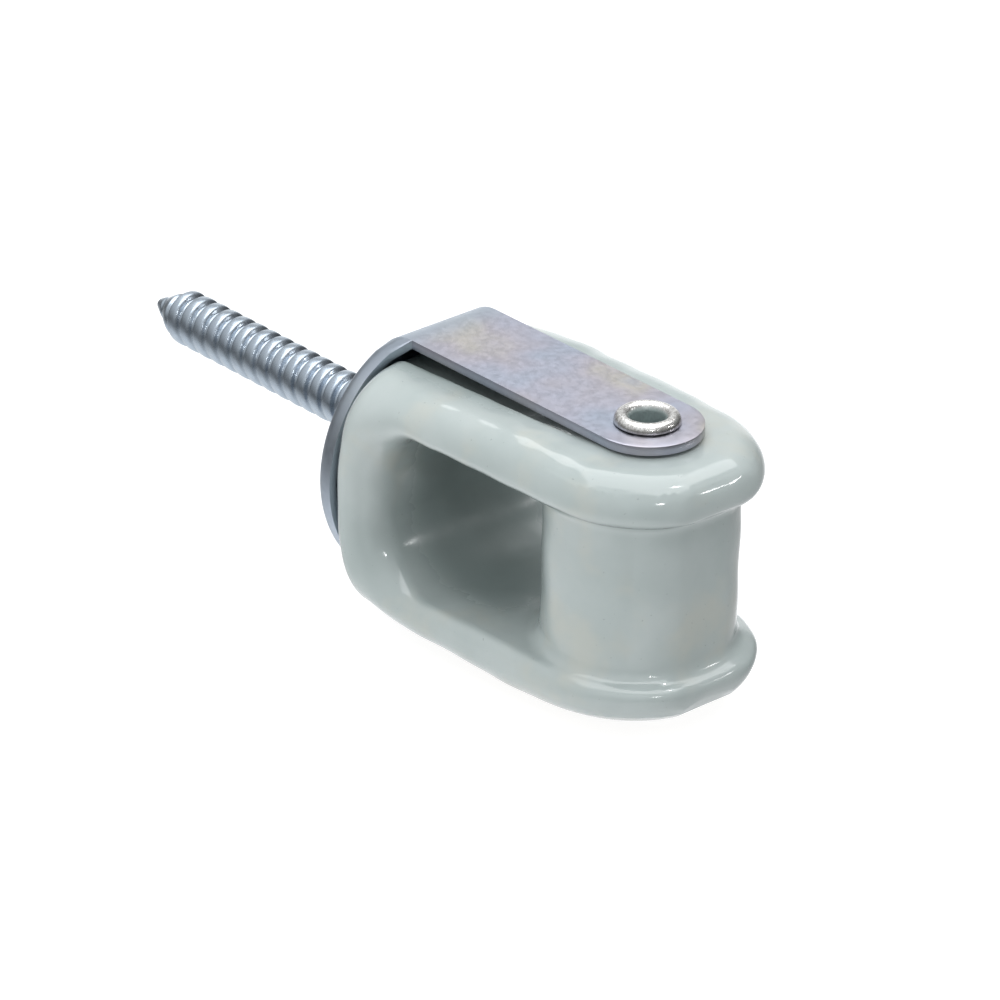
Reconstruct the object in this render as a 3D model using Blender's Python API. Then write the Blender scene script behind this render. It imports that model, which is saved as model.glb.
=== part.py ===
"""Porcelain fence insulator: glazed body, pressed steel strap, tubular rivet and lag screw.

Metres. The origin is where the screw's axis meets the back of the strap's plate, the face that
comes down on the post. +X runs along the screw, away from the post. +Y runs along the fence
wire, through the body's window, and +Z runs up the rivet.
"""

import math

import bmesh
import bpy
import numpy as np
from mathutils import Vector

GAP = 0.0003

# Lag screw: its head is caught between the plate and the pocket in the porcelain.
HEAD_RADIUS = 0.008
HEAD_HEIGHT = 0.0045
HEAD_CHAMFER = 0.001
POCKET_RADIUS = HEAD_RADIUS + 0.0008
NECK_RADIUS = 0.00485
NECK_LENGTH = 0.012
THREAD_RADIUS = 0.0050
ROOT_RADIUS = 0.0042
CREST_SHARPNESS = 0.7
PITCH = 0.0254 / 7
RINGS_PER_PITCH = 5
SCREW_TIP_X = -0.0721
POINT_LENGTH = 0.0045
POINT_RADIUS = 0.0011

# Strap: one pressed sheet, a round pan-shaped plate with an arm above and an arm below the body.
SHEET = 0.0016
STRAP_HALF_HEIGHT = 0.0251
ARM_HALF_WIDTH = 0.0097
ARM_BEND_RADIUS = 0.0064
PLATE_RADIUS = 0.0246
RIM_BEND_RADIUS = 0.003
RIM_DEPTH = 0.005
NOTCH_DEPTH = 0.0065
NOTCH_ANGLE = math.radians(61)
NOTCH_EASE = math.radians(16)
NOTCH_BLEND = 0.35
NECK_HOLE_RADIUS = NECK_RADIUS + GAP
RIVET_HOLE_RADIUS = 0.0044

# Rivet: a thin tube on the Z axis at RIVET_X, rolled over both arms.
RIVET_X = 0.0576
RIVET_RADIUS = 0.0041
RIVET_BORE_RADIUS = 0.0034
ROLL_RADIUS = 0.00575
ROLL_HEIGHT = 0.0015

# Porcelain body: a tapered block with a round nose, centred on the X axis.
BODY_BACK = SHEET + GAP
NOSE_RADIUS = 0.0205
SIDE_TAPER = math.radians(2)
FACET_HALF_WIDTH = 0.0060
HALF_HEIGHT = STRAP_HALF_HEIGHT - SHEET - GAP
BACK_HALF_HEIGHT = 0.0214
LEVEL_TOP_X = 0.045
EDGE_RADIUS = 0.0055
BACK_EDGE_RADIUS = 0.0035
SEAT_RADIUS = 0.0222
SEAT_EDGE_END = math.pi / 2 + 0.2
FLARE_X = 0.0132
FLARE_RADIUS = 0.030
RIVET_PASSAGE_RADIUS = 0.0049

# Window and column: the wire passes through the window and bears on the column.
WINDOW_BACK_X = 0.0135
WINDOW_HALF_HEIGHT = 0.015
WINDOW_CORNER_RADIUS = 0.009
COLUMN_RADIUS = 0.0168
COLUMN_FLAT_HALF_WIDTH = 0.0042
COLUMN_FILLET = 0.0013
COLUMN_FILLET_END = math.pi / 2 + 0.3
COLUMN_ROOT = 0.0002
COLUMN_SINK = 0.002
MOUTH_RADIUS = 0.0018

CUTTER_REACH = 0.04
AXIS_RADIUS = 0.001


def clear_scene():
    for item in list(bpy.data.objects):
        bpy.data.objects.remove(item, do_unlink=True)


def make_material(name, colour, metallic, roughness):
    material = bpy.data.materials.new(name)
    material.use_nodes = True
    shader = material.node_tree.nodes["Principled BSDF"]
    shader.inputs["Base Color"].default_value = (*colour, 1.0)
    shader.inputs["Metallic"].default_value = metallic
    shader.inputs["Roughness"].default_value = roughness
    material.diffuse_color = (*colour, 1.0)
    return material


def arc(centre, radius, start, end, steps):
    """Points on an arc about centre, from the start angle to the end angle in radians."""
    turn = np.linspace(start, end, steps + 1)
    return [(centre[0] + radius * math.cos(a), centre[1] + radius * math.sin(a)) for a in turn]


def object_from_bmesh(name, mesh):
    bmesh.ops.recalc_face_normals(mesh, faces=mesh.faces)
    data = bpy.data.meshes.new(name)
    mesh.to_mesh(data)
    mesh.free()
    part = bpy.data.objects.new(name, data)
    bpy.context.scene.collection.objects.link(part)
    return part


def extruded(name, outline, place, depth):
    """A prism: outline's 2D points go through place, then the face is extruded along depth."""
    mesh = bmesh.new()
    face = mesh.faces.new([mesh.verts.new(place(u, v)) for u, v in outline])
    swept = bmesh.ops.extrude_face_region(mesh, geom=[face])
    moved = [item for item in swept["geom"] if isinstance(item, bmesh.types.BMVert)]
    bmesh.ops.translate(mesh, vec=depth, verts=moved)
    return object_from_bmesh(name, mesh)


def ringed(name, rings, joined_ends=False):
    """A solid skinned over rings of points, closed by end caps or by joining last to first."""
    mesh = bmesh.new()
    loops = [[mesh.verts.new(point) for point in ring] for ring in rings]
    pairs = list(zip(loops, loops[1:]))
    if joined_ends:
        pairs.append((loops[-1], loops[0]))
    for near, far in pairs:
        for i in range(len(near)):
            j = (i + 1) % len(near)
            mesh.faces.new((near[i], near[j], far[j], far[i]))
    if not joined_ends:
        mesh.faces.new(loops[0])
        mesh.faces.new(loops[-1])
    return object_from_bmesh(name, mesh)


def turned_x(name, profile, steps, joined_ends=False):
    """A solid turned about the X axis from (x, radius) points."""
    turn = np.linspace(0, math.tau, steps, endpoint=False)
    rings = [[(x, r * math.cos(a), r * math.sin(a)) for a in turn] for x, r in profile]
    return ringed(name, rings, joined_ends)


def turned_z(name, profile, steps, joined_ends=False):
    """A solid turned about the rivet's axis from (radius, z) points."""
    turn = np.linspace(0, math.tau, steps, endpoint=False)
    rings = [[(RIVET_X + r * math.cos(a), r * math.sin(a), z) for a in turn] for r, z in profile]
    return ringed(name, rings, joined_ends)


def combine(part, tool, operation):
    """Apply a Boolean of tool to part and delete tool."""
    modifier = part.modifiers.new(operation.lower(), "BOOLEAN")
    modifier.operation = operation
    modifier.solver = "EXACT"
    modifier.object = tool
    graph = bpy.context.evaluated_depsgraph_get()
    result = bpy.data.meshes.new_from_object(part.evaluated_get(graph))
    part.modifiers.clear()
    part.data = result
    bpy.data.objects.remove(tool, do_unlink=True)


def finish(part, material, crease_degrees):
    part.data.materials.clear()
    part.data.materials.append(material)
    part.data.shade_smooth()
    part.data.set_sharp_from_angle(angle=math.radians(crease_degrees))


def nose_outline():
    """The body seen from above: a tapered block, a round nose and a small flat at its tip."""
    side = math.pi / 2 - SIDE_TAPER
    facet = math.asin(FACET_HALF_WIDTH / NOSE_RADIUS)
    right = arc((RIVET_X, 0), NOSE_RADIUS, -side, -facet, 9)
    left = [(x, -y) for x, y in reversed(right)]
    start_x, start_y = left[-1]

    def half_width(x):
        return start_y + (start_x - x) * math.tan(SIDE_TAPER)

    corners = [(x, half_width(x)) for x in (LEVEL_TOP_X, BODY_BACK)]
    return right + left + corners + [(x, -y) for x, y in reversed(corners)]


def body_block():
    """The block with its top and bottom sloped towards the back and its long edges rounded."""
    block = extruded(
        "porcelain_body",
        nose_outline(),
        lambda x, y: (x, y, -HALF_HEIGHT),
        Vector((0, 0, 2 * HALF_HEIGHT)),
    )
    mesh = bmesh.new()
    mesh.from_mesh(block.data)
    caps = [face for face in mesh.faces if abs(face.normal.z) > 0.9]
    rim = {edge for face in caps for edge in face.edges}
    for cap in caps:
        shoulder = [v for v in cap.verts if abs(v.co.x - LEVEL_TOP_X) < 1e-6]
        bmesh.ops.connect_verts(mesh, verts=shoulder)
    for vert in mesh.verts:
        back = max(0.0, (LEVEL_TOP_X - vert.co.x) / (LEVEL_TOP_X - BODY_BACK))
        height = HALF_HEIGHT + (BACK_HALF_HEIGHT - HALF_HEIGHT) * back
        vert.co.z = math.copysign(height, vert.co.z)
    bmesh.ops.bevel(
        mesh, geom=list(rim), offset=EDGE_RADIUS, segments=4, profile=0.5, affect="EDGES"
    )
    mesh.to_mesh(block.data)
    mesh.free()
    return block


def back_form():
    """What the back of the body may fill: inside the plate's rim, then flaring past it."""
    centre = (BODY_BACK + BACK_EDGE_RADIUS, SEAT_RADIUS - BACK_EDGE_RADIUS)
    edge = arc(centre, BACK_EDGE_RADIUS, math.pi, SEAT_EDGE_END, 4)
    front = RIVET_X + CUTTER_REACH
    profile = [(BODY_BACK, AXIS_RADIUS)] + edge
    profile += [(FLARE_X, FLARE_RADIUS), (front, FLARE_RADIUS), (front, AXIS_RADIUS)]
    return turned_x("back_form", profile, 48)


def window_cutter():
    """The window from its rounded back corners out past the nose, through the whole width."""
    r = WINDOW_CORNER_RADIUS
    inner_x = WINDOW_BACK_X + r
    inner_z = WINDOW_HALF_HEIGHT - r
    outline = arc((inner_x, inner_z), r, math.pi / 2, math.pi, 6)
    outline += arc((inner_x, -inner_z), r, math.pi, 3 * math.pi / 2, 6)
    front = RIVET_X + CUTTER_REACH
    outline += [(front, -WINDOW_HALF_HEIGHT), (front, WINDOW_HALF_HEIGHT)]
    return extruded(
        "window",
        outline,
        lambda x, z: (x, -CUTTER_REACH, z),
        Vector((0, 2 * CUTTER_REACH, 0)),
    )


def round_window_edges(body):
    """Round the sharp edges where the window meets the body's sides and runs round the nose."""
    mesh = bmesh.new()
    mesh.from_mesh(body.data)
    sharp = []
    for edge in mesh.edges:
        in_window = all(abs(v.co.z) < WINDOW_HALF_HEIGHT + 1e-5 for v in edge.verts)
        if in_window and edge.calc_face_angle(0.0) > math.radians(60):
            sharp.append(edge)
    bmesh.ops.bevel(
        mesh, geom=sharp, offset=MOUTH_RADIUS, segments=3, profile=0.5, affect="EDGES"
    )
    mesh.to_mesh(body.data)
    mesh.free()


def column():
    """The round column between the lips, with fillets at both ends and the nose's flat."""
    top = WINDOW_HALF_HEIGHT + COLUMN_ROOT
    centre = (COLUMN_RADIUS + COLUMN_FILLET, top - COLUMN_FILLET)
    fillet = arc(centre, COLUMN_FILLET, math.pi, COLUMN_FILLET_END, 3)
    upper = fillet + [(fillet[-1][0], WINDOW_HALF_HEIGHT + COLUMN_SINK)]
    profile = [(r, -z) for r, z in reversed(upper)] + upper
    flat = math.sqrt(COLUMN_RADIUS**2 - COLUMN_FLAT_HALF_WIDTH**2)
    turn = np.linspace(0, math.tau, 40, endpoint=False)
    rings = []
    for r, z in profile:
        reach = flat + r - COLUMN_RADIUS
        ring = []
        for a in turn:
            ring.append((RIVET_X + min(r * math.cos(a), reach), r * math.sin(a), z))
        rings.append(ring)
    return ringed("column", rings)


def porcelain_body(material):
    body = body_block()
    combine(body, back_form(), "INTERSECT")
    combine(body, window_cutter(), "DIFFERENCE")
    round_window_edges(body)
    combine(body, column(), "UNION")
    passage = [(RIVET_PASSAGE_RADIUS, z) for z in (-CUTTER_REACH, CUTTER_REACH)]
    combine(body, turned_z("rivet_passage", passage, 20), "DIFFERENCE")
    floor_x = SHEET + GAP + HEAD_HEIGHT + GAP
    pocket = [(x, POCKET_RADIUS) for x in (-CUTTER_REACH, floor_x)]
    combine(body, turned_x("head_pocket", pocket, 24), "DIFFERENCE")
    finish(body, material, 35)


def arm_rays(side):
    """Lines up one arm: across the plate, round the bend and out to the arm's round end."""
    rays = []
    for turn in np.radians(np.arange(-90, 91, 15)):
        y = side * ARM_HALF_WIDTH * math.sin(turn)
        start = Vector((y, side * (STRAP_HALF_HEIGHT - ARM_BEND_RADIUS)))
        end_x = RIVET_X + ARM_HALF_WIDTH * math.cos(turn)
        rays.append((start, Vector((0, side)), ARM_BEND_RADIUS, NOTCH_DEPTH, end_x))
    return rays


def rim_rays(side):
    """Lines across one side of the plate and over its rim, easing into the arms at both ends."""
    rays = []
    for tilt in np.linspace(NOTCH_ANGLE, -NOTCH_ANGLE, 21):
        near = max(0.0, 1 - (NOTCH_ANGLE - abs(tilt)) / NOTCH_EASE)
        ease = NOTCH_BLEND * near**2
        bend = RIM_BEND_RADIUS + (ARM_BEND_RADIUS - RIM_BEND_RADIUS) * ease
        depth = RIM_DEPTH + (NOTCH_DEPTH - RIM_DEPTH) * ease
        out = Vector((side * math.cos(tilt), side * math.sin(tilt)))
        rays.append((out * (PLATE_RADIUS - bend), out, bend, depth, None))
    return rays


def ray_points(ray, inset):
    """The points of one line, on the sheet's outer face (inset 0) or on its inner face."""
    start, out, bend, depth, end_x = ray
    hole = start.normalized() * NECK_HOLE_RADIUS
    points = [(inset, *hole)]
    for turn in np.radians(np.linspace(0, 90, 6)):
        plan = start + out * (bend - inset) * math.sin(turn)
        points.append((bend - (bend - inset) * math.cos(turn), *plan))
    edge = start + out * (bend - inset)
    points.append((depth, *edge))
    if end_x is not None:
        points += [(x, *edge) for x in np.linspace(depth, end_x, 9)[1:]]
    return points


def strap_sheet():
    """The pressed sheet: both faces as grids over the same lines, joined round every edge."""
    rays = arm_rays(1) + rim_rays(1) + arm_rays(-1) + rim_rays(-1)
    mesh = bmesh.new()
    outer = [[mesh.verts.new(p) for p in ray_points(ray, 0.0)] for ray in rays]
    inner = [[mesh.verts.new(p) for p in ray_points(ray, SHEET)] for ray in rays]
    twin = {}
    for outer_line, inner_line in zip(outer, inner):
        twin.update(zip(outer_line, inner_line))
    for here, there in zip(outer, outer[1:] + outer[:1]):
        for j in range(min(len(here), len(there)) - 1):
            quad = (here[j], there[j], there[j + 1], here[j + 1])
            mesh.faces.new(quad)
            mesh.faces.new([twin[v] for v in reversed(quad)])
    rims = [edge for edge in mesh.edges if len(edge.link_faces) == 1 and edge.verts[0] in twin]
    for edge in rims:
        a, b = edge.verts
        mesh.faces.new((a, b, twin[b], twin[a]))
    return object_from_bmesh("steel_strap", mesh)


def steel_strap(material):
    strap = strap_sheet()
    holes = [(RIVET_HOLE_RADIUS, z) for z in (-CUTTER_REACH, CUTTER_REACH)]
    combine(strap, turned_z("rivet_holes", holes, 24), "DIFFERENCE")
    finish(strap, material, 35)


def tubular_rivet(material):
    """A tube whose rolled ends are half-round beads standing on the arms' outer faces."""
    roll_z = STRAP_HALF_HEIGHT + GAP
    middle = (ROLL_RADIUS + RIVET_BORE_RADIUS) / 2
    half = (ROLL_RADIUS - RIVET_BORE_RADIUS) / 2
    bead = []
    for a in np.linspace(math.pi, 0, 9):
        bead.append((middle + half * math.cos(a), roll_z + ROLL_HEIGHT * math.sin(a)))
    upper = bead + [(RIVET_RADIUS, roll_z)]
    lower = [(r, -z) for r, z in reversed(upper)]
    turned = turned_z("tubular_rivet", upper + lower, 28, joined_ends=True)
    finish(turned, material, 50)


def thread_radius(x, a):
    """Radius of the right-hand thread at x and angle a, with its run-out and its point."""
    phase = (a / math.tau - x / PITCH) % 1.0
    crest = 0.5 + 0.5 * math.cos(math.tau * phase)
    run_out = min(1.0, max(0.0, (-NECK_LENGTH - x) / PITCH))
    depth = (THREAD_RADIUS - ROOT_RADIUS) * crest**CREST_SHARPNESS
    body = ROOT_RADIUS + depth * run_out
    along = min(1.0, (x - SCREW_TIP_X) / POINT_LENGTH)
    return POINT_RADIUS + (body - POINT_RADIUS) * along


def lag_screw(material):
    """Round head, plain neck, and a thread made of rings that follow the helix."""
    turn = np.linspace(0, math.tau, 18, endpoint=False)
    plate_front = SHEET + GAP
    head_top = plate_front + HEAD_HEIGHT
    profile = [(head_top, HEAD_RADIUS - HEAD_CHAMFER), (head_top - HEAD_CHAMFER, HEAD_RADIUS)]
    profile += [(plate_front, HEAD_RADIUS), (plate_front, NECK_RADIUS)]
    profile += [(-NECK_LENGTH, NECK_RADIUS)]
    rings = [[(x, r * math.cos(a), r * math.sin(a)) for a in turn] for x, r in profile]
    thread_start = -NECK_LENGTH - (NECK_RADIUS - ROOT_RADIUS)
    count = round((thread_start - SCREW_TIP_X) / (PITCH / RINGS_PER_PITCH))
    for x in np.linspace(thread_start, SCREW_TIP_X, count + 1):
        ring = []
        for a in turn:
            r = thread_radius(x, a)
            ring.append((x, r * math.cos(a), r * math.sin(a)))
        rings.append(ring)
    finish(ringed("lag_screw", rings), material, 50)


def main():
    clear_scene()
    porcelain_body(make_material("porcelain_glaze", (0.56, 0.63, 0.61), 0.0, 0.15))
    steel_strap(make_material("zinc_sheet", (0.62, 0.62, 0.68), 1.0, 0.35))
    lag_screw(make_material("zinc_screw", (0.66, 0.69, 0.76), 1.0, 0.28))
    tubular_rivet(make_material("bright_rivet", (0.82, 0.80, 0.79), 1.0, 0.2))


main()
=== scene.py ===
"""Looks of the porcelain fence insulator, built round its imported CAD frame.

Metres, in the row frame: +X out of the post, +Y along the wire, +Z up the rivet. Each of the four
CAD nodes is replaced by one finer piece: the glazed porcelain, the zinc plated strap, the rolled
lag screw and the rolled rivet.
"""

import math

import bmesh
import bpy
import numpy as np
from mathutils import Matrix, Vector


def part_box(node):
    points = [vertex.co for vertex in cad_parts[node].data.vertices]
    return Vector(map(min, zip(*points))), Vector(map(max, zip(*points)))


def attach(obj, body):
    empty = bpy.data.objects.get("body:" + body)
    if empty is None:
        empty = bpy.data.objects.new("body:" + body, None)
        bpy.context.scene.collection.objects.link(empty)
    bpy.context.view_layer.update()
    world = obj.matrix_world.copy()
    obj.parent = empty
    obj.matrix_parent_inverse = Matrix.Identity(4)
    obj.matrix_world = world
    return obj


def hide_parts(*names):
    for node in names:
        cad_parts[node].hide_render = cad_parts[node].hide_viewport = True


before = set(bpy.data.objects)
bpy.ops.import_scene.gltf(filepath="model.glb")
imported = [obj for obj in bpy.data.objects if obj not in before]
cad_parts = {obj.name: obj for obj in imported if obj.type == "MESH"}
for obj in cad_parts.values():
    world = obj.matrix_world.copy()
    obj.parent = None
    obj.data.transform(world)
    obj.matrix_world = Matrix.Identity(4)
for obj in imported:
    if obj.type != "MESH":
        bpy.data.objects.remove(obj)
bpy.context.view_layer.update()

# Sizes the pieces share with the frame.
_, STRAP_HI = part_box("steel_strap")
SCREW_LO, SCREW_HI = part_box("lag_screw")
BODY_LO, BODY_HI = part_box("porcelain_body")
RIVET_LO, RIVET_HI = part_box("tubular_rivet")
RIVET_X = (RIVET_LO.x + RIVET_HI.x) / 2
GAP = 0.0003

# Porcelain. X, Y and Z values are places in the frame; the rest are lengths.
NOSE_RADIUS = 0.0205
SIDE_TAPER = math.radians(2)
FACET_ROUND = 0.0015
SIDE_SWELL = 0.0022  # the sides spread out to the width of the plate
SWELL_START_X, SWELL_END_X = 0.030, 0.009  # where the swell begins, and where it is full
BACK_HALF_HEIGHT = 0.0214
LEVEL_TOP_X = 0.045
EDGE_RADIUS = 0.0061
LOWER_EDGE_RADIUS = 0.0038
BASE_EDGE_RADIUS = 0.0115
BASE_LOWER_EDGE_RADIUS = 0.0095
BASE_END_X, BASE_BLEND_X = 0.008, 0.026  # the base's edges ease into the lips' between these
NOSE_LOWER_EDGE_RADIUS = 0.0078
UPPER_Z = 0.010  # the lower edges ease into the upper ones between -UPPER_Z and UPPER_Z
BACK_EDGE_RADIUS = 0.0045
SEAT_RADIUS = 0.0222
FLARE_START_X = 0.0045
FLARE_END = Vector((0.0082, 0.030))
FLARE_ROUND = 0.003
WINDOW_BACK_X = 0.0135
WINDOW_HALF_HEIGHT = 0.015
WINDOW_CORNER_RADIUS = 0.0122
MOUTH_ROUND = 0.0024
MOUTH_ROUND_BACK = 0.0075
MOUTH_EASE = 0.014  # the rear's wide mouth eases into the narrow one over this length
COLUMN_RADIUS = 0.0168
COLUMN_FLAT_HALF_WIDTH = 0.0042
COLUMN_FILLET = 0.0026
SMALL_ROUND = 0.0006
FLARE_FILLET = 0.001
PASSAGE_RADIUS = 0.0049
POCKET_RADIUS = 0.0088
WAVE_HEIGHT = 0.00007
RELIEF_DEPTH = 0.0020  # under the arms
RELIEF_FADE_X = 0.030  # the dip fades from here to the rivet
RELIEF_INSET, RELIEF_SPREAD = 0.0014, 0.0006  # of its sides, from the arm's edge in and out
FIELD_STEP = 0.0007
PLAY = Vector((0, -0.0007, -0.0003))  # the porcelain rests to one side in its clearance

# Strap.
SHEET = 0.0016
ARM_HALF_WIDTH = 0.0097
ARM_BEND_RADIUS = 0.0083
PLATE_RADIUS = STRAP_HI.y
RIM_BEND_RADIUS = 0.003
RIM_DEPTH = 0.0044
NOTCH_DEPTH = 0.0086
NOTCH_ANGLE = math.radians(61)
NOTCH_EASE = math.radians(16)
NOTCH_BLEND = 0.35
NECK_HOLE_RADIUS = 0.00515
RIVET_HOLE_RADIUS = 0.0044
DRILL_REACH = 0.04  # past both arms
SHEARED_EDGE = 0.00022
PLATE_STEPS, BEND_STEPS, ARM_STEPS = 6, 16, 24  # along each line of the sheet
ARM_LINES, RIM_LINES = 49, 91
DRILL_STEPS = 64

# Screw.
HEAD_RADIUS = SCREW_HI.y
HEAD_CHAMFER = 0.001
NECK_RADIUS = 0.00485
NECK_LENGTH = 0.012
THREAD_RADIUS = 0.0050
ROOT_RADIUS = 0.0039
PITCH = 0.0254 / 7
POINT_LENGTH = 0.0075
POINT_RADIUS = 0.0010
GROOVE_SHARE = 0.17  # of the pitch, from the groove's middle to the crest
CREST_DROOP = 0.25  # how much of the thread's depth the crest loses by its sides
TURN_STEPS = 72
RINGS_PER_PITCH = 24

# Rivet.
ROLL_RADIUS = RIVET_HI.y
ROLL_HEIGHT = 0.0015
BORE_RADIUS = 0.0031
TUBE_RADIUS = 0.0041
BEAD_STEPS = 24
RIVET_STEPS = 96

# Where the materials change, from one value to the other, in the frame.
DULL_AND_SHADED_HALF_DEPTH = (0.008, 0.018)  # from the window's middle out towards its mouths
DULL_AND_SHADED_X = (0.030, 0.045)
FOOT_AND_SHADE_Z = (-0.0229, -0.0208)
PLAIN_ZINC_X = (0.006, 0.014)

FLOOR_HALF_WIDTH = 6.0
FLOOR_CLEARANCE = 0.0001

# Camera, as angles about the frame's origin and a shift of the aim across the view.
CAMERA_AZIMUTH = math.radians(42.159)
CAMERA_ELEVATION = math.radians(26.957)
CAMERA_ROLL = math.radians(1.084)
CAMERA_DISTANCE = 1.1087
CAMERA_ACROSS = -0.013997
CAMERA_UP = 0.010849
CAMERA_LENS, CAMERA_SENSOR = 227.54, 36  # millimetres
CAMERA_CLIP = (0.05, 20)


def place_camera():
    """The camera looks back along the azimuth and elevation, rolled, then slid across its view."""
    az, el, roll = CAMERA_AZIMUTH, CAMERA_ELEVATION, CAMERA_ROLL
    back = Vector((math.cos(az) * math.cos(el), -math.sin(az) * math.cos(el), math.sin(el)))
    level = Vector((math.sin(az), math.cos(az), 0))
    upright = back.cross(level)
    right = level * math.cos(roll) + upright * math.sin(roll)
    up = upright * math.cos(roll) - level * math.sin(roll)
    data = bpy.data.cameras.new("camera")
    data.lens = CAMERA_LENS
    data.sensor_width = CAMERA_SENSOR
    data.clip_start, data.clip_end = CAMERA_CLIP
    camera = bpy.data.objects.new("camera", data)
    turned = Matrix((right, up, back)).transposed().to_4x4()
    place = back * CAMERA_DISTANCE - right * CAMERA_ACROSS - up * CAMERA_UP
    camera.matrix_world = Matrix.Translation(place) @ turned
    bpy.context.scene.collection.objects.link(camera)
    bpy.context.scene.camera = camera


# Fields: negative inside, in metres.


def smooth_step(value, low, high):
    """0 below low, 1 above high and an even ease between them."""
    t = np.clip((value - low) / (high - low), 0, 1)
    return t * t * (3 - 2 * t)


def mix(a, b, share):
    """From a at share 0 to b at share 1."""
    return a + (b - a) * share


def round_both(a, b, radius):
    """Where both fields are inside, with a convex round of that radius where they meet."""
    corner = np.hypot(np.maximum(a + radius, 0), np.maximum(b + radius, 0))
    return np.minimum(np.maximum(a, b), -radius) + corner


def round_either(a, b, radius):
    """Where either field is inside, with a concave fillet of that radius where they meet."""
    corner = np.hypot(np.maximum(radius - a, 0), np.maximum(radius - b, 0))
    return np.maximum(np.minimum(a, b), radius) - corner


def plan_field(x, y):
    """The body seen from above: tapered sides, a round nose and the flat at its tip."""
    along, across = x - RIVET_X, np.abs(y)
    sine, cosine = math.sin(SIDE_TAPER), math.cos(SIDE_TAPER)
    swell = SIDE_SWELL * (1 - smooth_step(x, SWELL_END_X, SWELL_START_X))
    side = along * sine + across * cosine - NOSE_RADIUS - swell
    nose = np.hypot(along, across) - NOSE_RADIUS
    sides = np.where(along * cosine - across * sine > 0, nose, side)
    return round_both(sides, x - BODY_HI.x, FACET_ROUND)


def block_field(x, y, z):
    """The plan closed by the top and bottom faces, which dip under the arms, with round edges."""
    slope = (BODY_HI.z - BACK_HALF_HEIGHT) / (LEVEL_TOP_X - BODY_LO.x)
    height = BODY_HI.z - slope * np.maximum(LEVEL_TOP_X - x, 0)
    dip_half_width = ARM_HALF_WIDTH - RELIEF_INSET
    under_arm = 1 - smooth_step(np.abs(y), dip_half_width, ARM_HALF_WIDTH + RELIEF_SPREAD)
    height = height - RELIEF_DEPTH * under_arm * (1 - smooth_step(x, RELIEF_FADE_X, RIVET_X))
    upper = smooth_step(z, -UPPER_Z, UPPER_Z)
    near_nose = smooth_step(x, LEVEL_TOP_X, BODY_HI.x)
    low_edge = mix(LOWER_EDGE_RADIUS, NOSE_LOWER_EDGE_RADIUS, near_nose)
    edge = mix(low_edge, EDGE_RADIUS, upper)
    base_edge = mix(BASE_LOWER_EDGE_RADIUS, BASE_EDGE_RADIUS, upper)
    edge = mix(base_edge, edge, smooth_step(x, BASE_END_X, BASE_BLEND_X))
    return round_both(plan_field(x, y), np.abs(z) - height, edge)


def back_field(x, y, z):
    """The seat inside the plate's rim, flaring out past the rim's edge."""
    radial = np.hypot(y, z)
    run = Vector((FLARE_END.x - FLARE_START_X, FLARE_END.y - SEAT_RADIUS)).normalized()
    cone = (radial - SEAT_RADIUS) * run.x - (x - FLARE_START_X) * run.y
    flare = round_either(radial - SEAT_RADIUS, cone, FLARE_FILLET)
    return round_both(flare, BODY_LO.x - x, BACK_EDGE_RADIUS)


def window_field(x, z):
    """The window seen from the side, open towards the column."""
    u = WINDOW_BACK_X + WINDOW_CORNER_RADIUS - x
    v = np.abs(z) - (WINDOW_HALF_HEIGHT - WINDOW_CORNER_RADIUS)
    outside = np.hypot(np.maximum(u, 0), np.maximum(v, 0))
    return outside + np.minimum(np.maximum(u, v), 0) - WINDOW_CORNER_RADIUS


def column_field(x, y, z):
    """The round column with a flat at its front, from lip to lip."""
    flat = math.sqrt(COLUMN_RADIUS**2 - COLUMN_FLAT_HALF_WIDTH**2)
    turned = np.hypot(x - RIVET_X, y) - COLUMN_RADIUS
    rounded = round_both(turned, x - RIVET_X - flat, SMALL_ROUND)
    return np.maximum(rounded, np.abs(z) - (WINDOW_HALF_HEIGHT + BODY_HI.z) / 2)


def glaze_wave(x, y, z):
    """Slow unevenness of the hand-finished surface, from waves 10 to 40 mm long."""
    crossed = np.sin(420 * x + 190 * z + 1.3) * np.sin(310 * y - 260 * x)
    return WAVE_HEIGHT * (crossed + np.sin(530 * z + 150 * y))


def porcelain_field(x, y, z):
    """The fired body, with its window, column, rivet passage and pocket for the screw's head."""
    outside = round_both(block_field(x, y, z), back_field(x, y, z), FLARE_ROUND)
    near_back = 1 - smooth_step(x, WINDOW_BACK_X, WINDOW_BACK_X + MOUTH_EASE)
    mouth = mix(MOUTH_ROUND, MOUTH_ROUND_BACK, near_back)
    body = round_both(outside, -window_field(x, z), mouth)
    body = round_either(body, column_field(x, y, z), COLUMN_FILLET)
    passage = np.hypot(x - RIVET_X, y) - PASSAGE_RADIUS
    body = round_both(body, -passage, SMALL_ROUND)
    pocket = np.maximum(np.hypot(y, z) - POCKET_RADIUS, x - (SCREW_HI.x + GAP))
    return np.maximum(body, -pocket) + glaze_wave(x, y, z)


def field_slope(field, points, reach=2e-5):
    """The field's value and gradient at each point."""
    gradient = np.empty_like(points)
    for axis in range(3):
        ahead, behind = points.copy(), points.copy()
        ahead[:, axis] += reach
        behind[:, axis] -= reach
        gradient[:, axis] = (field(*ahead.T) - field(*behind.T)) / (2 * reach)
    return field(*points.T), gradient


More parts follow.
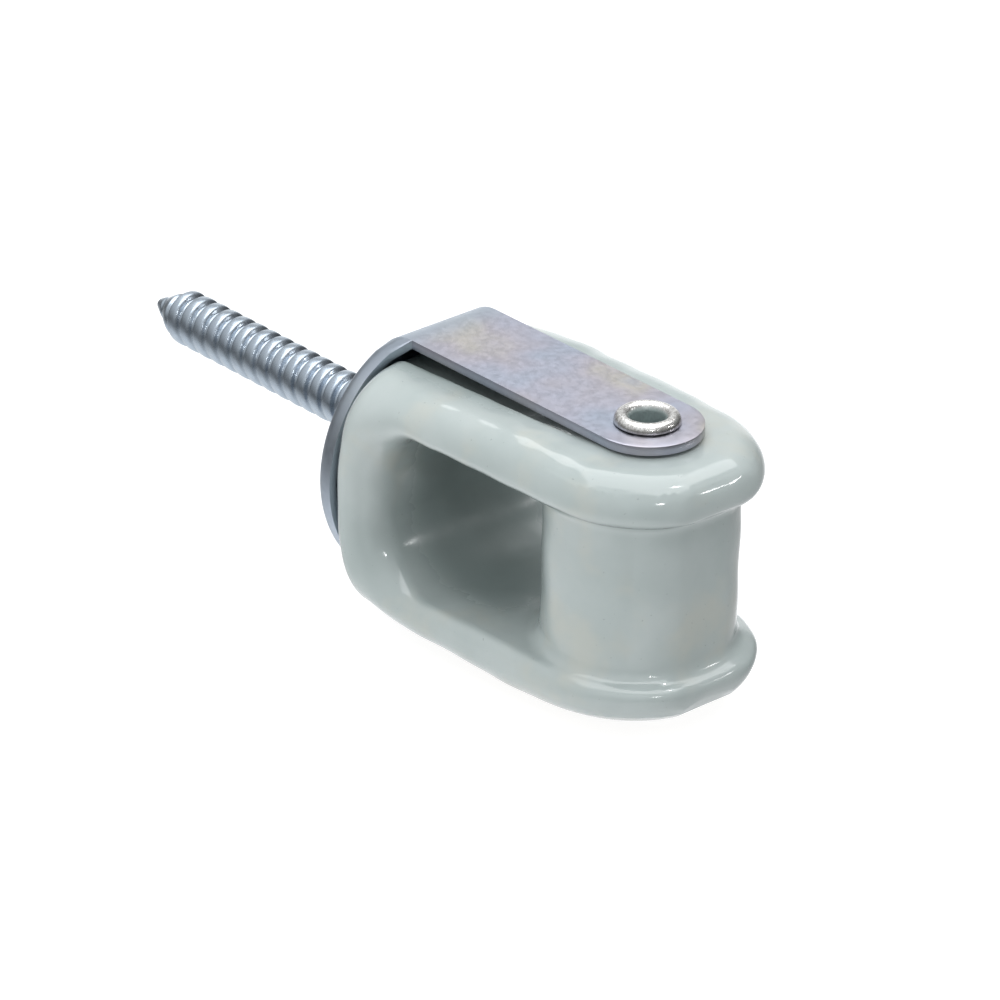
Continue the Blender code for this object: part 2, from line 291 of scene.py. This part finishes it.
def field_mesh(field, low, high, step):
    """Quads over the field's zero surface: one vertex for each grid cell that it crosses."""
    axes = [np.arange(a - 2 * step, b + 3 * step, step) for a, b in zip(low, high)]
    value = field(*np.meshgrid(*axes, indexing="ij"))
    inside = value < 0
    shape = np.array(inside.shape) - 1
    total = np.zeros((*shape, 3))
    count = np.zeros(shape)
    near = [slice(0, -1), slice(1, None)]
    for axis in range(3):
        others = [k for k in range(3) if k != axis]
        start = [slice(None)] * 3
        stop = [slice(None)] * 3
        start[axis], stop[axis] = near
        a, b = value[tuple(start)], value[tuple(stop)]
        crosses = inside[tuple(start)] != inside[tuple(stop)]
        share = np.where(crosses, a / np.where(crosses, a - b, 1), 0)
        for i in (0, 1):
            for j in (0, 1):
                pick = [slice(None)] * 3
                pick[others[0]], pick[others[1]] = near[i], near[j]
                hit = crosses[tuple(pick)]
                count += hit
                total[..., axis] += share[tuple(pick)]
                total[..., others[0]] += i * hit
                total[..., others[1]] += j * hit
    used = count > 0
    index = np.full(shape, -1)
    index[used] = np.arange(used.sum())
    cells = np.argwhere(used)
    corner = np.array([axis[0] for axis in axes])
    points = corner + (cells + total[used] / count[used][:, None]) * step
    for _ in range(4):
        distance, gradient = field_slope(field, points)
        steepness = np.maximum((gradient**2).sum(1), 0.25)
        points -= np.clip(distance / steepness, -step, step)[:, None] * gradient
    quads = []
    for axis in range(3):
        first, second = (axis + 1) % 3, (axis + 2) % 3
        start = [slice(1, -1)] * 3
        stop = [slice(1, -1)] * 3
        start[axis], stop[axis] = near
        a, b = inside[tuple(start)], inside[tuple(stop)]
        for out_ahead in (True, False):
            at = np.argwhere(a & ~b if out_ahead else b & ~a)
            at[:, [first, second]] += 1
            ring = []
            for i, j in ((-1, -1), (0, -1), (0, 0), (-1, 0)):
                cell = at.copy()
                cell[:, first] += i
                cell[:, second] += j
                ring.append(index[tuple(cell.T)])
            quad = np.stack(ring, 1)
            quads.append(quad if out_ahead else quad[:, ::-1])
    return points, np.concatenate(quads)


def mesh_piece(name, points, faces, material):
    data = bpy.data.meshes.new(name)
    data.from_pydata([tuple(p) for p in points], [], [tuple(f) for f in faces])
    data.materials.append(material)
    data.shade_smooth()
    piece = bpy.data.objects.new(name, data)
    bpy.context.scene.collection.objects.link(piece)
    return piece


def porcelain_piece(material):
    swell = Vector((0, SIDE_SWELL, 0))
    points, quads = field_mesh(porcelain_field, BODY_LO - swell, BODY_HI + swell, FIELD_STEP)
    piece = mesh_piece("glazed_porcelain", points, quads.tolist(), material)
    _, gradient = field_slope(porcelain_field, points)
    normals = gradient / np.linalg.norm(gradient, axis=1)[:, None]
    piece.data.normals_split_custom_set_from_vertices([tuple(n) for n in normals])
    piece.location = PLAY
    return piece


def ray_points(ray, inset):
    """The points of one line of the sheet, on its outer face (inset 0) or its inner face."""
    start, out, bend, depth, end_x = ray
    hole = start.normalized() * NECK_HOLE_RADIUS
    points = [(inset, *hole.lerp(start, t)) for t in np.linspace(0, 1, PLATE_STEPS + 1)]
    for turn in np.radians(np.linspace(0, 90, BEND_STEPS + 1))[1:]:
        plan = start + out * (bend - inset) * math.sin(turn)
        points.append((bend - (bend - inset) * math.cos(turn), *plan))
    edge = start + out * (bend - inset)
    points.append((depth, *edge))
    if end_x is not None:
        points += [(x, *edge) for x in np.linspace(depth, end_x, ARM_STEPS + 1)[1:]]
    return points


def arm_rays(side):
    """Lines up one arm, closer together towards its edges, and out to its round end."""
    rays = []
    for turn in np.radians(np.linspace(-90, 90, ARM_LINES)):
        y = side * ARM_HALF_WIDTH * math.sin(turn)
        start = Vector((y, side * (STRAP_HI.z - ARM_BEND_RADIUS)))
        end_x = RIVET_X + ARM_HALF_WIDTH * math.cos(turn)
        rays.append((start, Vector((0, side)), ARM_BEND_RADIUS, NOTCH_DEPTH, end_x))
    return rays


def rim_rays(side):
    """Lines over one side of the plate's rim, easing into the arms at both ends."""
    rays = []
    for tilt in np.linspace(NOTCH_ANGLE, -NOTCH_ANGLE, RIM_LINES):
        near = max(0.0, 1 - (NOTCH_ANGLE - abs(tilt)) / NOTCH_EASE)
        ease = NOTCH_BLEND * near**2
        bend = mix(RIM_BEND_RADIUS, ARM_BEND_RADIUS, ease)
        depth = mix(RIM_DEPTH, NOTCH_DEPTH, ease)
        out = Vector((side * math.cos(tilt), side * math.sin(tilt)))
        radius = PLATE_RADIUS / math.cos(NOTCH_EASE * near)
        rays.append((out * (radius - bend), out, bend, depth, None))
    return rays


def strap_piece(material):
    """The pressed sheet as two faces over the same lines, with rivet holes and broken edges."""
    rays = arm_rays(1) + rim_rays(1) + arm_rays(-1) + rim_rays(-1)
    mesh = bmesh.new()
    outer = [[mesh.verts.new(p) for p in ray_points(ray, 0.0)] for ray in rays]
    inner = [[mesh.verts.new(p) for p in ray_points(ray, SHEET)] for ray in rays]
    twin = {}
    for outer_line, inner_line in zip(outer, inner):
        twin.update(zip(outer_line, inner_line))
    for here, there in zip(outer, outer[1:] + outer[:1]):
        for j in range(min(len(here), len(there)) - 1):
            quad = (here[j], there[j], there[j + 1], here[j + 1])
            mesh.faces.new(quad)
            mesh.faces.new([twin[v] for v in reversed(quad)])
    rims = [edge for edge in mesh.edges if len(edge.link_faces) == 1 and edge.verts[0] in twin]
    for edge in rims:
        a, b = edge.verts
        mesh.faces.new((a, b, twin[b], twin[a]))
    bmesh.ops.recalc_face_normals(mesh, faces=mesh.faces)
    data = bpy.data.meshes.new("zinc_strap")
    mesh.to_mesh(data)
    mesh.free()
    data.materials.append(material)
    piece = bpy.data.objects.new("zinc_strap", data)
    bpy.context.scene.collection.objects.link(piece)
    profile = [(RIVET_HOLE_RADIUS, -DRILL_REACH), (RIVET_HOLE_RADIUS, DRILL_REACH)]
    drill = turned_piece("drill", profile, DRILL_STEPS)
    cut = piece.modifiers.new("holes", "BOOLEAN")
    cut.operation, cut.solver, cut.object = "DIFFERENCE", "EXACT", drill
    bevel = piece.modifiers.new("broken_edges", "BEVEL")
    bevel.width, bevel.segments = SHEARED_EDGE, 2
    bevel.limit_method, bevel.angle_limit = "ANGLE", math.radians(50)
    bake_modifiers(piece)
    bpy.data.objects.remove(drill, do_unlink=True)
    piece.data.shade_smooth()
    piece.data.set_sharp_from_angle(angle=math.radians(35))
    return piece


def bake_modifiers(piece):
    """Replace the piece's mesh by the mesh that its modifiers make."""
    graph = bpy.context.evaluated_depsgraph_get()
    result = bpy.data.meshes.new_from_object(piece.evaluated_get(graph))
    piece.modifiers.clear()
    piece.data = result


def ring_piece(name, rings, material=None, joined_ends=False):
    """A skin over rings of points, closed by end caps or by joining the last to the first."""
    count = len(rings[0])
    points = [point for ring in rings for point in ring]
    pairs = list(zip(range(len(rings) - 1), range(1, len(rings))))
    if joined_ends:
        pairs.append((len(rings) - 1, 0))
    faces = []
    for near, far in pairs:
        for i in range(count):
            j = (i + 1) % count
            faces.append((near * count + i, near * count + j, far * count + j, far * count + i))
    if not joined_ends:
        faces.append(tuple(range(count)))
        faces.append(tuple(range((len(rings) - 1) * count, len(rings) * count)))
    mesh = bmesh.new()
    verts = [mesh.verts.new(point) for point in points]
    for face in faces:
        mesh.faces.new([verts[i] for i in face])
    bmesh.ops.recalc_face_normals(mesh, faces=mesh.faces)
    data = bpy.data.meshes.new(name)
    mesh.to_mesh(data)
    mesh.free()
    if material:
        data.materials.append(material)
    data.shade_smooth()
    data.set_sharp_from_angle(angle=math.radians(45))
    piece = bpy.data.objects.new(name, data)
    bpy.context.scene.collection.objects.link(piece)
    return piece


def polar(r, a):
    return r * math.cos(a), r * math.sin(a)


def turned_piece(name, profile, steps, material=None, joined_ends=False):
    """Turned about the rivet's axis from (radius, z) points."""
    turn = np.linspace(0, math.tau, steps, endpoint=False)
    rings = [[(RIVET_X + r * math.cos(a), r * math.sin(a), z) for a in turn] for r, z in profile]
    return ring_piece(name, rings, material, joined_ends)


def thread_radius(x, a):
    """Radius of the rolled thread: broad round crests with a narrow groove between them."""
    phase = (a / math.tau - x / PITCH + 0.5) % 1.0 - 0.5
    hollow = 1 - math.exp(-((abs(abs(phase) - 0.5) / GROOVE_SHARE) ** 3))
    crest = hollow * (1 - CREST_DROOP * (2 * phase) ** 2)
    run_out = min(1.0, max(0.0, (-NECK_LENGTH - x) / PITCH))
    body = ROOT_RADIUS + (THREAD_RADIUS - ROOT_RADIUS) * crest * run_out
    along = min(1.0, (x - SCREW_LO.x) / POINT_LENGTH)
    return POINT_RADIUS + (body - POINT_RADIUS) * along


def screw_piece(material):
    """Head, plain neck and thread, as rings from the head back to the blunt point."""
    turn = np.linspace(0, math.tau, TURN_STEPS, endpoint=False)
    plate_front = SHEET + GAP
    profile = [(SCREW_HI.x, HEAD_RADIUS - HEAD_CHAMFER), (SCREW_HI.x - HEAD_CHAMFER, HEAD_RADIUS)]
    profile += [(plate_front, HEAD_RADIUS), (plate_front, NECK_RADIUS)]
    profile += [(-NECK_LENGTH, NECK_RADIUS)]
    rings = [[(x, *polar(r, a)) for a in turn] for x, r in profile]
    thread_start = -NECK_LENGTH - (NECK_RADIUS - ROOT_RADIUS)
    count = round((thread_start - SCREW_LO.x) / PITCH * RINGS_PER_PITCH)
    for x in np.linspace(thread_start, SCREW_LO.x, count + 1):
        rings.append([(x, *polar(thread_radius(x, a), a)) for a in turn])
    return ring_piece("rolled_screw", rings, material)


def rivet_piece(material):
    """A tube whose two ends are rolled over into beads on the arms."""
    roll_z = STRAP_HI.z + GAP
    middle, half = (ROLL_RADIUS + BORE_RADIUS) / 2, (ROLL_RADIUS - BORE_RADIUS) / 2
    bead = []
    for a in np.linspace(math.pi, 0, BEAD_STEPS + 1):
        bead.append((middle + half * math.cos(a), roll_z + ROLL_HEIGHT * math.sin(a)))
    upper = bead + [(TUBE_RADIUS, roll_z)]
    lower = [(r, -z) for r, z in reversed(upper)]
    return turned_piece("rolled_rivet", upper + lower, RIVET_STEPS, material, joined_ends=True)


def spread_node(tree, source, low, high, out_low, out_high):
    """An even ease from out_low to out_high while the source goes from low to high."""
    made = tree.nodes.new("ShaderNodeMapRange")
    made.interpolation_type = "SMOOTHSTEP"
    limits = {"From Min": low, "From Max": high, "To Min": out_low, "To Max": out_high}
    for name, value in limits.items():
        made.inputs[name].default_value = value
    tree.links.new(source, made.inputs["Value"])
    return made.outputs["Result"]


def math_node(tree, operation, *values):
    """One math step on sockets and plain numbers."""
    made = tree.nodes.new("ShaderNodeMath")
    made.operation = operation
    for socket, value in zip(made.inputs, values):
        if isinstance(value, float):
            socket.default_value = value
        else:
            tree.links.new(value, socket)
    return made.outputs["Value"]


class Shader:
    """A material with a Principled shader, and short calls that add nodes to it."""

    def __init__(self, name):
        self.material = bpy.data.materials.new(name)
        self.material.use_nodes = True
        self.tree = self.material.node_tree
        self.main = self.tree.nodes["Principled BSDF"]
        self.place = self.node("ShaderNodeTexCoord").outputs["Object"]

    def node(self, kind, **settings):
        made = self.tree.nodes.new(kind)
        for key, value in settings.items():
            setattr(made, key, value)
        return made

    def join(self, source, target):
        self.tree.links.new(source, target)

    def noise(self, scale, detail, rough, stretch=(1, 1, 1)):
        """A noise whose blots are about 1 / scale metres across."""
        mapping = self.node("ShaderNodeMapping")
        mapping.inputs["Scale"].default_value = stretch
        self.join(self.place, mapping.inputs["Vector"])
        made = self.node("ShaderNodeTexNoise")
        self.join(mapping.outputs["Vector"], made.inputs["Vector"])
        made.inputs["Scale"].default_value = scale
        made.inputs["Detail"].default_value = detail
        made.inputs["Roughness"].default_value = rough
        return made.outputs["Fac"]

    def ramp(self, source, stops):
        """Colours along the source's 0 to 1, from (position, colour) stops."""
        made = self.node("ShaderNodeValToRGB")
        band = made.color_ramp
        while len(band.elements) < len(stops):
            band.elements.new(0.5)
        for element, (position, colour) in zip(band.elements, stops):
            element.position = position
            element.color = (*colour, 1)
        self.join(source, made.inputs["Fac"])
        return made.outputs["Color"]

    def blend(self, share, first, second):
        """From the first colour to the second; each may be a socket or a plain value."""
        made = self.node("ShaderNodeMix", data_type="RGBA")
        factor, start, end = (made.inputs[i] for i in (0, 6, 7))
        for socket, value in ((factor, share), (start, first), (end, second)):
            if isinstance(value, float):
                socket.default_value = value
            elif isinstance(value, tuple):
                socket.default_value = (*value, 1)
            else:
                self.join(value, socket)
        return made.outputs[2]

    def spread(self, source, low, high, out_low, out_high):
        return spread_node(self.tree, source, low, high, out_low, out_high)

    def axes(self):
        """The x, y and z of each point in the frame."""
        made = self.node("ShaderNodeSeparateXYZ")
        self.join(self.place, made.inputs["Vector"])
        return tuple(made.outputs)

    def calc(self, operation, *values):
        return math_node(self.tree, operation, *values)

    def bump(self, source, strength, distance, normal=None):
        """Relief from the source, on top of an earlier relief if one is given."""
        made = self.node("ShaderNodeBump")
        made.inputs["Strength"].default_value = strength
        made.inputs["Distance"].default_value = distance
        self.join(source, made.inputs["Height"])
        if normal:
            self.join(normal, made.inputs["Normal"])
        return made.outputs["Normal"]

    def set(self, **values):
        """Set or join the Principled shader's sockets and return the finished material."""
        for name, value in values.items():
            socket = self.main.inputs[name.replace("_", " ")]
            if hasattr(value, "is_output"):
                self.join(value, socket)
            else:
                socket.default_value = value
        return self.material


def glaze():
    """Grey-green glaze with warm patches and specks, dull and darkened with painted shade in the
    window, brown at the foot with painted shade.
    """
    s = Shader("grey_green_glaze")
    tones = [(0.35, (0.375, 0.428, 0.423)), (0.65, (0.430, 0.480, 0.475))]
    tone = s.ramp(s.noise(55, 4, 0.55), tones)
    warm = s.spread(s.noise(75, 3, 0.6), 0.50, 0.72, 0.0, 0.6)
    tone = s.blend(warm, tone, (0.46, 0.475, 0.43))
    speck = s.spread(s.noise(1500, 1, 0.5), 0.74, 0.80, 0.0, 0.5)
    tone = s.blend(speck, tone, (0.25, 0.28, 0.27))
    x, y, z = s.axes()
    deep = s.spread(s.calc("ABSOLUTE", y), *DULL_AND_SHADED_HALF_DEPTH, 1.0, 0.0)
    inside = s.calc("MULTIPLY", deep, s.spread(x, *DULL_AND_SHADED_X, 1.0, 0.0))
    # Painted shade: deep in the window the glaze colour is pulled to a dark grey-green, where
    # little light reaches.
    tone = s.blend(s.calc("MULTIPLY", inside, 0.8), tone, (0.21, 0.255, 0.25))
    # Brown along the bottom edge: partly the unglazed foot, partly painted shade under the body's
    # lower edge.
    foot = s.spread(z, *FOOT_AND_SHADE_Z, 0.9, 0.0)
    tone = s.blend(foot, tone, (0.30, 0.27, 0.21))
    pooled = s.bump(s.noise(62, 2, 0.5), 0.35, 0.0012)
    ripple = s.bump(s.noise(190, 2, 0.5), 0.25, 0.0004, pooled)
    gloss = s.spread(s.noise(300, 3, 0.5), 0.3, 0.7, 0.07, 0.16)
    return s.set(
        Base_Color=tone,
        Roughness=s.calc("ADD", gloss, s.calc("MULTIPLY", inside, 0.3)),
        Normal=ripple,
        IOR=1.52,
        Coat_Weight=s.spread(inside, 0.0, 1.0, 0.5, 0.05),
        Coat_Roughness=s.spread(inside, 0.0, 1.0, 0.04, 0.5),
    )


def zinc(name, blue_share, cloud_scale, roughness):
    """Zinc plate: cloudy violet, blue and straw tints, plainer and bluer behind the bends."""
    s = Shader(name)
    tints = [
        (0.30, (0.42, 0.47, 0.57)),
        (0.42, (0.48, 0.47, 0.55)),
        (0.52, (0.51, 0.47, 0.51)),
        (0.60, (0.55, 0.51, 0.46)),
        (0.70, (0.45, 0.48, 0.56)),
    ]
    tint = s.ramp(s.noise(cloud_scale, 2.5, 0.5), tints)
    tint = s.blend(blue_share, tint, (0.48, 0.56, 0.66))
    x, _, _ = s.axes()
    tint = s.blend(s.spread(x, *PLAIN_ZINC_X, 0.8, 0.0), tint, (0.42, 0.49, 0.56))
    grain = s.noise(2600, 3, 0.6)
    tint = s.blend(s.spread(grain, 0.3, 0.75, 0.0, 0.22), tint, (0.42, 0.45, 0.52))
    scuffs = s.noise(900, 3, 0.6)
    return s.set(
        Base_Color=tint,
        Metallic=1.0,
        Roughness=s.spread(scuffs, 0.3, 0.7, roughness - 0.06, roughness + 0.08),
        Normal=s.bump(grain, 0.05, 0.0002),
    )


def rolled_steel():
    """Bright rolled steel with fine tool marks, dull down the bore, where a teal-grey painted
    reflection lightens it.
    """
    s = Shader("bright_rolled_steel")
    marks = s.noise(1800, 3, 0.6, (1, 1, 0.4))
    tint = s.ramp(marks, [(0.35, (0.58, 0.56, 0.54)), (0.6, (0.86, 0.85, 0.83))])
    x, y, _ = s.axes()
    along = s.calc("SUBTRACT", x, RIVET_X)
    squares = s.calc("ADD", s.calc("POWER", along, 2.0), s.calc("POWER", y, 2.0))
    radius = s.calc("POWER", squares, 0.5)
    # Painted reflection: down the bore the steel turns a lighter teal-grey, half metallic and
    # rougher, in place of the light it reflects.
    bore = s.spread(radius, BORE_RADIUS - 0.0001, BORE_RADIUS + 0.0005, 1.0, 0.0)
    tint = s.blend(bore, tint, (0.36, 0.44, 0.44))
    rough = s.spread(marks, 0.3, 0.7, 0.24, 0.12)
    return s.set(
        Base_Color=tint,
        Metallic=s.spread(bore, 0.0, 1.0, 1.0, 0.5),
        Roughness=s.calc("ADD", rough, s.calc("MULTIPLY", bore, 0.3)),
        Normal=s.bump(marks, 0.3, 0.0003),
    )


def floor_material():
    """White that glows a little, so that the object's shadow on it stays faint."""
    s = Shader("white_floor")
    return s.set(
        Base_Color=(0.35, 0.35, 0.35, 1),
        Roughness=0.9,
        Specular_IOR_Level=0.0,
        Emission_Color=(1, 1, 1, 1),
        Emission_Strength=0.86,
    )


def place_floor():
    """A plain white floor just under the lower rolled end of the rivet.

    The object isn't lit by it: the pale lower half of the world stands in for its bounce.
    """
    half, z = FLOOR_HALF_WIDTH, RIVET_LO.z - FLOOR_CLEARANCE
    corners = [(-half, -half, z), (half, -half, z), (half, half, z), (-half, half, z)]
    floor = mesh_piece("floor", corners, [(0, 1, 2, 3)], floor_material())
    floor.visible_diffuse = floor.visible_glossy = False


def soft_light(name, place, aim, size, power):
    data = bpy.data.lights.new(name, "AREA")
    data.shape = "RECTANGLE"
    data.size, data.size_y = size
    data.energy = power
    lamp = bpy.data.objects.new(name, data)
    lamp.location = place
    lamp.rotation_mode = "QUATERNION"
    lamp.rotation_quaternion = (Vector(aim) - Vector(place)).to_track_quat("-Z", "Y")
    bpy.context.scene.collection.objects.link(lamp)
    return lamp


def place_lights():
    """Softboxes that fill, and small lamps that make the glaze's sparks.

    Each has its azimuth from +X, elevation, distance, size, power and whether the object shows
    its reflection.
    """
    boxes = [
        ("top_box", 120, 80, 0.8, (1.0, 1.0), 5.6, True),
        ("left_box", -108, -5, 0.9, (0.8, 0.5), 7.5, False),
        ("front_box", 5, -5, 0.9, (0.7, 0.5), 4.0, False),
        ("high_spark", 40, 72, 0.9, (0.05, 0.05), 0.35, True),
        ("front_spark", -25, 29, 0.9, (0.10, 0.04), 0.35, True),
        ("right_spark", 44, 25, 0.9, (0.10, 0.04), 0.35, True),
    ]
    centre = Vector((BODY_HI.x / 2, 0, 0))
    for name, azimuth, elevation, distance, size, power, mirrored in boxes:
        az, el = math.radians(azimuth), math.radians(elevation)
        out = Vector((math.cos(az) * math.cos(el), math.sin(az) * math.cos(el), math.sin(el)))
        lamp = soft_light(name, centre + out * distance, centre, size, power)
        lamp.visible_glossy = mirrored


def place_world():
    """A pale studio: bright overhead, below and in a patch behind, dimmer to the right."""
    world = bpy.data.worlds.new("studio")
    world.use_nodes = True
    tree = world.node_tree
    background = tree.nodes["Background"]
    place = tree.nodes.new("ShaderNodeTexCoord").outputs["Generated"]

    def toward(direction, low, high, out_low, out_high):
        """An ease over how far each way of looking points in the direction, from -1 to 1."""
        dot = tree.nodes.new("ShaderNodeVectorMath")
        dot.operation = "DOT_PRODUCT"
        dot.inputs[1].default_value = direction
        tree.links.new(place, dot.inputs[0])
        return spread_node(tree, dot.outputs["Value"], low, high, out_low, out_high)

    overhead = toward((0, 0, 1), -0.1, 0.9, 0.20, 1.0)
    table = toward((0, 0, -1), 0.1, 0.8, 0.0, 0.95)
    right = toward((0.7, 0.7, 0), 0.0, 0.95, 1.0, 0.45)
    behind = toward((-0.73, 0.66, -0.1), 0.84, 1.0, 0.0, 1.0)
    level = math_node(tree, "MULTIPLY", math_node(tree, "ADD", overhead, table), right)
    level = math_node(tree, "ADD", level, behind)
    tree.links.new(level, background.inputs["Strength"])
    background.inputs["Color"].default_value = (0.97, 0.99, 1.0, 1)
    bpy.context.scene.world = world
    bpy.context.scene.view_settings.view_transform = "Standard"


def build_object():
    """The four pieces, each in place of its CAD node, which is hidden."""
    pieces = [
        (porcelain_piece(glaze()), "porcelain_body", "porcelain_glaze"),
        (strap_piece(zinc("zinc_on_sheet", 0.1, 48, 0.36)), "steel_strap", "zinc_sheet"),
        (screw_piece(zinc("zinc_on_screw", 0.6, 160, 0.26)), "lag_screw", "zinc_screw"),
        (rivet_piece(rolled_steel()), "tubular_rivet", "bright_rivet"),
    ]
    for piece, node, slot in pieces:
        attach(piece, "root")
        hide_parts(node)


place_camera()
build_object()
place_floor()
place_lights()
place_world()
